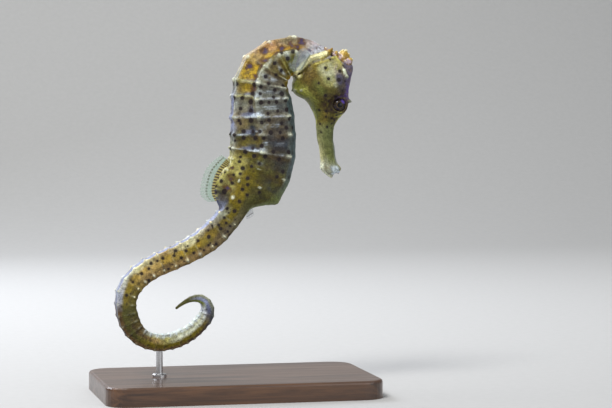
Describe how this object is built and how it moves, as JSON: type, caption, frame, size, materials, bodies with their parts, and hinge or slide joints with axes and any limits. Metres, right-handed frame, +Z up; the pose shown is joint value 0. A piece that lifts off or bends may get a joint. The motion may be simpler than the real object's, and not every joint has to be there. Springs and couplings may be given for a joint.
{
  "type": "seahorse",
  "caption": "Seahorse model: long snout, bent neck, deep ringed trunk and forward-curling tail, held upright by a short rod on a flat rounded base.",
  "frame": {"origin": "middle of the stand base's underside", "axes": "+Z up; the animal's mid plane is XZ and it faces +X; its right side faces -Y"},
  "size_m": [0.074, 0.044, 0.0959],
  "materials": {
    "head_skin": "satin painted skin, olive yellow with dark dots",
    "snout_skin": "satin painted skin, olive grey paling to the mouth",
    "coronet_skin": "satin painted skin, yellow brown with cream points",
    "eye": "glossy, dark with a violet sheen",
    "neck_skin": "satin painted skin, orange brown with dark blotches",
    "trunk_skin": "satin painted skin, olive brown with dark round spots",
    "tail_skin": "satin painted skin, golden brown with pale ridges",
    "fin_membrane": "thin translucent membrane over fine rays",
    "stand_wood": "dark stained, satin varnish",
    "stand_steel": "brushed"
  },
  "bodies": {
    "root": {"head": "head_skin", "snout": "snout_skin", "coronet": "coronet_skin", "eye_right": "eye", "eye_left": "eye", "neck_front": "neck_skin", "neck_back": "neck_skin", "trunk_upper": "trunk_skin", "trunk_lower": "trunk_skin", "tail_base": "tail_skin", "tail_upper": "tail_skin", "tail_bend": "tail_skin", "tail_lower": "tail_skin", "tail_foot": "tail_skin", "tail_rise": "tail_skin", "tail_hook": "tail_skin", "tail_tip": "tail_skin", "dorsal_fin": "fin_membrane", "anal_fin": "fin_membrane", "pectoral_fin_right": "fin_membrane", "pectoral_fin_left": "fin_membrane", "stand_base": "stand_wood", "stand_rod": "stand_steel"}
  },
  "joints": []
}
